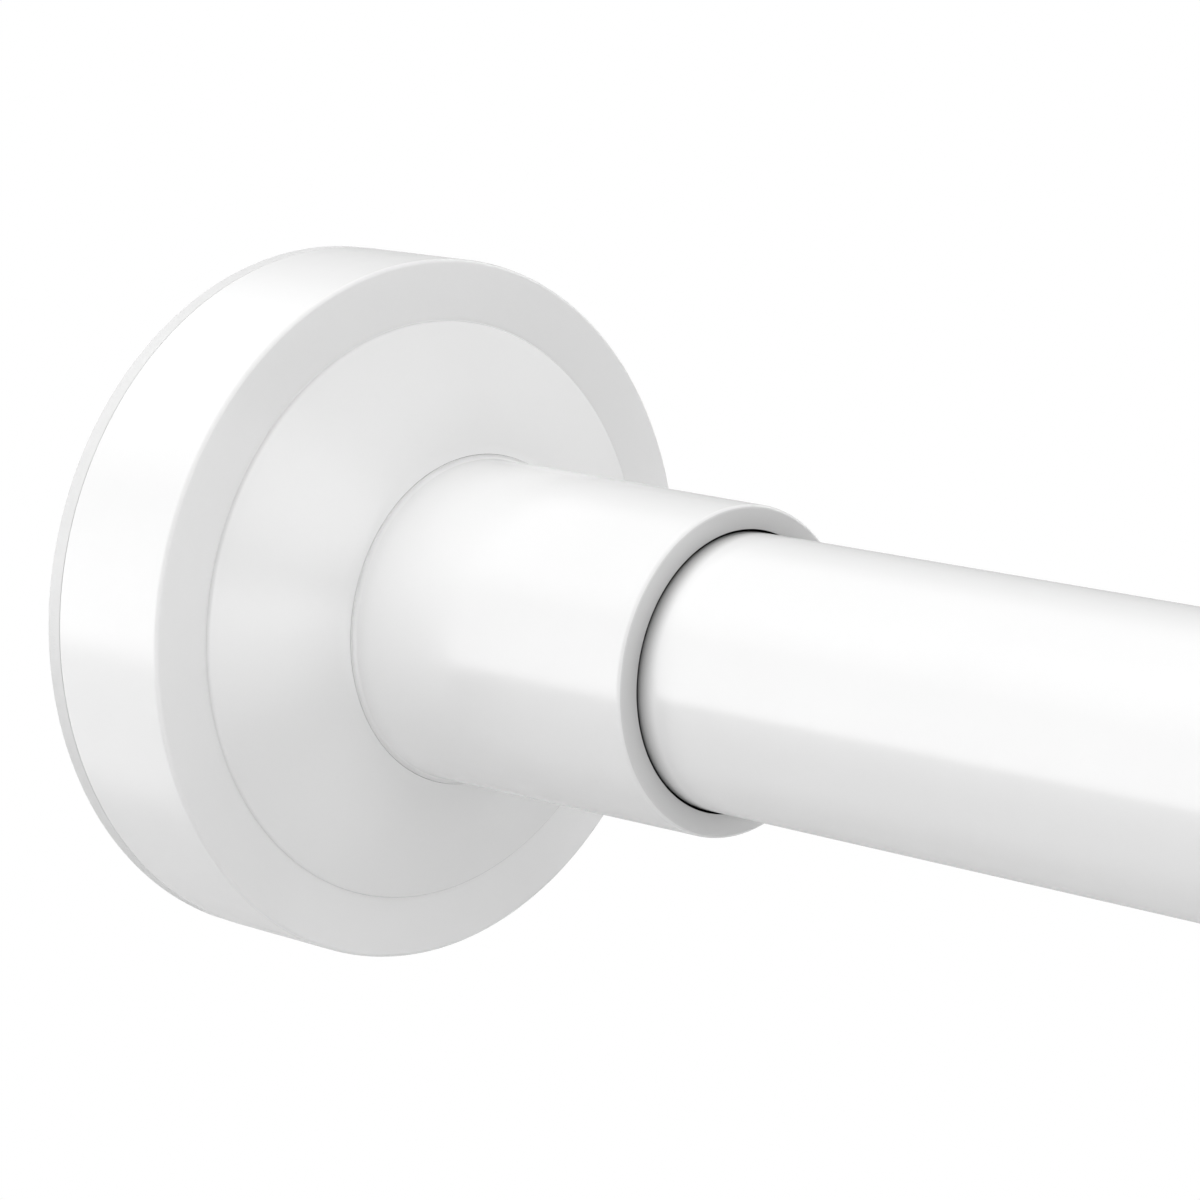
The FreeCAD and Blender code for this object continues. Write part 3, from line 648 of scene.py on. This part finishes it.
# Each skin paints shade into its creases and joints by its reach and power; the collar's plastic
# also paints shade on its end faces
cover_plastic = skin_material(
    "cover_plastic", grey(0.780), grey(0.810), painted_crease_shade=(8.0, 0.2), **MOULDED
)
collar_plastic = skin_material(
    "collar_plastic", grey(0.770), grey(0.800), painted_crease_shade=(2.5, 0.25), extra_painted_shade=painted_mouth_shade,
    **MOULDED
)
tube_enamel = skin_material(
    "tube_enamel", grey(0.785), grey(0.810), roughness=(0.11, 0.15),
    waves=(2.2, 0.3, 0.06), bump_mm=0.006, painted_crease_shade=(2.0, 1.4),
)
grip_rubber = skin_material(
    "grip_rubber", grey(0.64), grey(0.71), roughness=(0.50, 0.68),
    waves=(1.2, 0.18, 0.9), bump_mm=0.03, painted_crease_shade=(2.0, 0.3),
)
inner_nylon = skin_material(
    "inner_nylon", (0.66, 0.64, 0.57), (0.74, 0.72, 0.65), roughness=(0.34, 0.50),
    waves=(3.0, 0.25, 0.4), bump_mm=0.02, painted_crease_shade=(2.0, 0.5),
)
seal_rubber = skin_material(
    "seal_rubber", grey(0.012), (0.025, 0.025, 0.026), roughness=(0.38, 0.55),
    waves=(0.8, 0.15, 0.8), bump_mm=0.02, painted_crease_shade=(2.0, 0.5),
)
zinc_steel = metal_material("zinc_steel", (0.55, 0.57, 0.60), (0.74, 0.75, 0.77), (0.22, 0.40))
spring_steel = metal_material(
    "spring_steel", (0.20, 0.20, 0.21), (0.34, 0.34, 0.35), (0.28, 0.45)
)
spindle_steel = metal_material(
    "spindle_steel", thread=SPINDLE_THREAD, thread_mm=0.7, **THREADED_STEEL
)
near_screw_steel = metal_material(
    "near_screw_steel", thread=NEAR_SCREW_THREAD, thread_mm=0.6, **THREADED_STEEL
)
far_screw_steel = metal_material(
    "far_screw_steel", thread=FAR_SCREW_THREAD, thread_mm=0.6, **THREADED_STEEL
)

# The flanges, the tubes and the mouth bush, turned about the rod's axis

for end, body, place in (("a", "flange_a", list), ("b", "flange_b", at_far_end)):
    pad, cover, base = [place(made()) for made in (pad_outline, cover_outline, base_outline)]
    turned("pad_" + end, pad, body, "grip_rubber", grip_rubber, "grip_pad_" + end)
    turned("cover_" + end, cover, body, "cap_plastic", cover_plastic, "flange_cover_" + end)
    turned("collar_" + end, base, body, "cap_plastic", collar_plastic, "socket_base_" + end)

crimps = [TUBE_SEAT + CRIMP_FROM_END]
large_tube = tube_outline(TUBE_SEAT, MOUTH_FACE - MOUTH_LIP, OUTER_TUBE_RADIUS, crimps)
turned("large_tube", large_tube, "outer_rod", "tube_enamel", tube_enamel, "outer_tube")
turned("tube_mouth", bush_outline(), "outer_rod", "cap_plastic", cover_plastic, "mouth_bush")

inner_end = ROD_LENGTH - TUBE_SEAT
crimps = [INNER_TUBE_START + CRIMP_FROM_END, inner_end - CRIMP_FROM_END]
small_tube = tube_outline(INNER_TUBE_START, inner_end, INNER_TUBE_RADIUS, crimps)
turned("small_tube", small_tube, "inner_rod", "tube_enamel", tube_enamel, "inner_tube")

reducer = at_far_end(reducer_outline())
turned("reducer", reducer, "flange_b", "cap_plastic", collar_plastic, "reducer_sleeve_b")

# The coil spring, between the spindle's shoulder and the inner tube's bush

coil = placed("coil_spring", coil_mesh("coil_spring"))
coil.data.materials.append(spring_steel)
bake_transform(coil)
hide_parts("spring")

# The other hidden pieces keep their solids' shapes

finishes = {
    "inner_nylon": inner_nylon,
    "zinc_steel": zinc_steel,
    "seal_rubber": seal_rubber,
}
threaded = {
    "spindle": spindle_steel,
    "end_screw_a": near_screw_steel,
    "end_screw_b": far_screw_steel,
}
for part in frame["record"]["subparts"]:
    node, slot_name = part["node"], part["material_slot"]
    if slot_name in finishes:
        solid = frame["nodes"][node]
        solid.data.materials.clear()
        solid.data.materials.append(threaded.get(node, finishes[slot_name]))

# Studio

FLOOR_Z = -1.0
FLOOR_RADIUS = 2.2
FLOOR_SIDES = 96
FLOOR_COLOUR = 0.8
FLOOR_ROUGHNESS = 0.9
FLOOR_OWN_LEVEL = 1.17
FLOOR_OWN_SHARE = 0.75


def make_floor():
    """A pale round floor far below the rod: (R cos a, R sin a) at one height.

    To the camera, FLOOR_OWN_SHARE of it is a plain level of its own, and the rest is lit.
    """
    angle = np.linspace(0, 2 * math.pi, FLOOR_SIDES, endpoint=False)
    x = ROD_LENGTH * MM / 2 + FLOOR_RADIUS * np.cos(angle)
    y = FLOOR_RADIUS * np.sin(angle)
    points = np.stack([x, y, np.full(FLOOR_SIDES, FLOOR_Z)], axis=1)
    mesh = bpy.data.meshes.new("floor")
    mesh.from_pydata(points, [], [list(range(FLOOR_SIDES))])
    floor = placed("floor", mesh)
    pale, nodes, shader, _ = new_material("floor_paint")
    shader.inputs["Base Color"].default_value = (*grey(FLOOR_COLOUR), 1)
    shader.inputs["Roughness"].default_value = FLOOR_ROUGHNESS
    path = nodes.add("ShaderNodeLightPath").outputs
    seen = nodes.math("MAXIMUM", path["Is Camera Ray"], path["Is Transmission Ray"])
    share = nodes.math("MULTIPLY", seen, FLOOR_OWN_SHARE)
    own = nodes.add("ShaderNodeEmission", Strength=FLOOR_OWN_LEVEL)
    own.inputs["Color"].default_value = (1, 1, 1, 1)
    mix = nodes.add("ShaderNodeMixShader", _0=share, _1=shader.outputs[0], _2=own.outputs[0])
    nodes.join(pale.node_tree.nodes["Material Output"].inputs["Surface"], mix.outputs[0])
    mesh.materials.append(pale)
    floor.visible_glossy = False


# Light. What the gloss sees round the rod, as levels by the angle round its axis in degrees:
# 0 is straight up, 90 is level at the front and 180 is straight down. White cards stand at the
# front and end just below level, so that the streak along the rod has a sharp lower edge. The
# fades are where one set of cards passes to the next, by the x of the direction.

CARDS_LEFT = [
    (-170, 0.59), (-120, 0.55), (-95, 0.60), (-70, 0.75), (-45, 0.86), (-25, 1.39), (15, 1.23),
    (55, 0.75), (82, 1.89), (104.5, 2.80), (108.5, 1.24), (112, 0.0), (130, 0.16), (160, 0.88),
]
CARDS_FAR_LEFT = [
    (-170, 0.80), (-120, 0.66), (-95, 0.60), (-70, 0.75), (-45, 0.86), (-25, 1.39), (15, 1.23),
    (55, 0.75), (82, 1.89), (104.5, 2.80), (112, 1.11), (130, 1.51), (150, 1.95), (170, 0.79),
]
CARDS_RIGHT = [
    (-150, 0.0), (-110, 0.42), (-70, 2.50), (-20, 2.60), (20, 1.50), (65, 1.10), (110, 2.20),
    (135, 1.35), (160, 0.0),
]
CARDS_FAR_RIGHT = [
    (-150, 0.0), (-110, 0.42), (-70, 2.50), (-20, 4.10), (20, 3.40), (65, 1.90), (110, 3.60),
    (135, 2.10), (160, 0.90),
]
BRIGHTEST_CARD = 4.1
LEFT_FADE = (-0.45, -0.05)
FAR_LEFT_FADE = (-0.77, -0.69)
FAR_RIGHT_FADE = (0.84, 0.93)


def card_ramp(nodes, name, turn, stops):
    """Levels between stops on a circle. The turn goes from 0 at -180 degrees to 1 at 180."""
    ramp = nodes.add("ShaderNodeValToRGB", {"label": name}, Fac=turn)
    angles = [angle for angle, level in stops]
    levels = [level / BRIGHTEST_CARD for angle, level in stops]
    ends = np.interp([-180, 180], angles, levels, period=360)
    turns = [(angle + 180) / 360 for angle in angles]
    places = [(0.0, ends[0]), *zip(turns, levels), (1.0, ends[1])]
    elements = ramp.color_ramp.elements
    while len(elements) < len(places):
        elements.new(1.0)
    for element, (place, level) in zip(elements, places):
        element.position = place
        element.color = (level, level, level, 1)
    return nodes.math("MULTIPLY", ramp.outputs["Color"], BRIGHTEST_CARD)


def faded(nodes, along, fade, before, after):
    """A level that passes smoothly from before to after as the direction's x crosses the fade."""
    share = nodes.spread(along, *fade, how="SMOOTHSTEP")
    change = nodes.math("SUBTRACT", after, before)
    return nodes.math("MULTIPLY_ADD", share, change, before)


def make_world():
    """White to the camera and through clear pieces, and cards round the rod to the gloss.

    It gives the rest no light, which comes from the lamps.
    """
    world = bpy.data.worlds.new("studio")
    bpy.context.scene.world = world
    world.use_nodes = True
    nodes = Nodes(world.node_tree)
    world.node_tree.nodes.clear()
    way = nodes.add("ShaderNodeTexCoord").outputs["Generated"]
    axes = nodes.add("ShaderNodeSeparateXYZ", Vector=way).outputs
    front = nodes.math("MULTIPLY", axes["Y"], -1.0)
    turn = nodes.math("MULTIPLY_ADD", nodes.math("ARCTAN2", front, axes["Z"]), 0.5 / math.pi, 0.5)
    cards = card_ramp(nodes, "far left", turn, CARDS_FAR_LEFT)
    for name, stops, fade in (
        ("left", CARDS_LEFT, FAR_LEFT_FADE),
        ("right", CARDS_RIGHT, LEFT_FADE),
        ("far right", CARDS_FAR_RIGHT, FAR_RIGHT_FADE),
    ):
        cards = faded(nodes, axes["X"], fade, cards, card_ramp(nodes, name, turn, stops))
    path = nodes.add("ShaderNodeLightPath").outputs
    shown = nodes.math("MAXIMUM", path["Is Camera Ray"], path["Is Transmission Ray"])
    glossy = nodes.math("MULTIPLY", path["Is Glossy Ray"], cards)
    level = nodes.math("MAXIMUM", shown, glossy)
    light = nodes.add("ShaderNodeBackground", Strength=level)
    light.inputs["Color"].default_value = (1, 1, 1, 1)
    output = nodes.add("ShaderNodeOutputWorld")
    nodes.join(output.inputs["Surface"], light.outputs[0])


LAMP_SIZE = 2.0
LAMP_DISTANCE = 3.0
LAMP_AIM = Vector((0.1, 0, 0))
LAMPS = [
    ("lamp_front", (0.0, -1.0, 0.1), 34.2),
    ("lamp_overhead", (0.0, 0.0, 1.0), 20.4),
    ("lamp_upper_left", (-0.5, -0.5, 0.7), 63.0),
    ("lamp_upper_right", (0.6, -0.3, 0.7), 28.8),
    ("lamp_back_right", (0.7, 0.5, 0.5), 22.2),
    ("lamp_low_back_right", (0.9, 0.4, -0.2), 17.4),
    ("lamp_low_right", (0.95, -0.1, -0.3), 34.2),
    ("lamp_left", (-0.9, -0.3, -0.1), 31.2),
]


def area_lamp(name, towards, power):
    """A large square lamp in one direction from a point by the near flange, facing it."""
    lamp = bpy.data.lights.new(name, "AREA")
    lamp.size = LAMP_SIZE
    lamp.energy = power
    made = placed(name, lamp)
    back = Vector(towards).normalized()
    made.location = LAMP_AIM + back * LAMP_DISTANCE
    made.rotation_mode = "QUATERNION"
    made.rotation_quaternion = back.to_track_quat("Z", "Y")
    made.visible_glossy = False
    made.visible_camera = False


make_floor()
make_world()
for lamp_name, towards, power in LAMPS:
    area_lamp(lamp_name, towards, power)

# Camera: a long lens, a little above the rod and in front of it, looking back along the near end

IMAGE_SIZE = 1200.0
FOCAL_PIXELS = 4632.9
SENSOR_WIDTH = 36.0
CLIP_START = 0.01
CAMERA_ELEVATION = math.radians(10.77)
CAMERA_RIGHT = Vector((0.7017, 0.7125, 0.0)).normalized()
MOUTH_IN_VIEW = Vector((12.215, 6.358, 408.71)) * MM


def make_camera():
    """Places the camera so that the collar's mouth lies at MOUTH_IN_VIEW.

    That is how far the mouth lies to the right, down and ahead of the camera.
    """
    level = Vector((-CAMERA_RIGHT.y, CAMERA_RIGHT.x, 0))
    forward = level * math.cos(CAMERA_ELEVATION) - Vector((0, 0, math.sin(CAMERA_ELEVATION)))
    up = CAMERA_RIGHT.cross(forward)
    mouth = Vector((COLLAR_REACH * MM, 0, 0))
    offset = CAMERA_RIGHT * MOUTH_IN_VIEW.x - up * MOUTH_IN_VIEW.y + forward * MOUTH_IN_VIEW.z
    data = bpy.data.cameras.new("camera")
    data.sensor_width = SENSOR_WIDTH
    data.lens = FOCAL_PIXELS / IMAGE_SIZE * SENSOR_WIDTH
    data.clip_start = CLIP_START
    camera = placed("camera", data)
    turn = Matrix((CAMERA_RIGHT, up, -forward)).transposed()
    camera.rotation_mode = "QUATERNION"
    camera.rotation_quaternion = turn.to_quaternion()
    camera.location = mouth - offset
    bpy.context.scene.camera = camera


make_camera()
bpy.context.scene.view_settings.view_transform = "Standard"
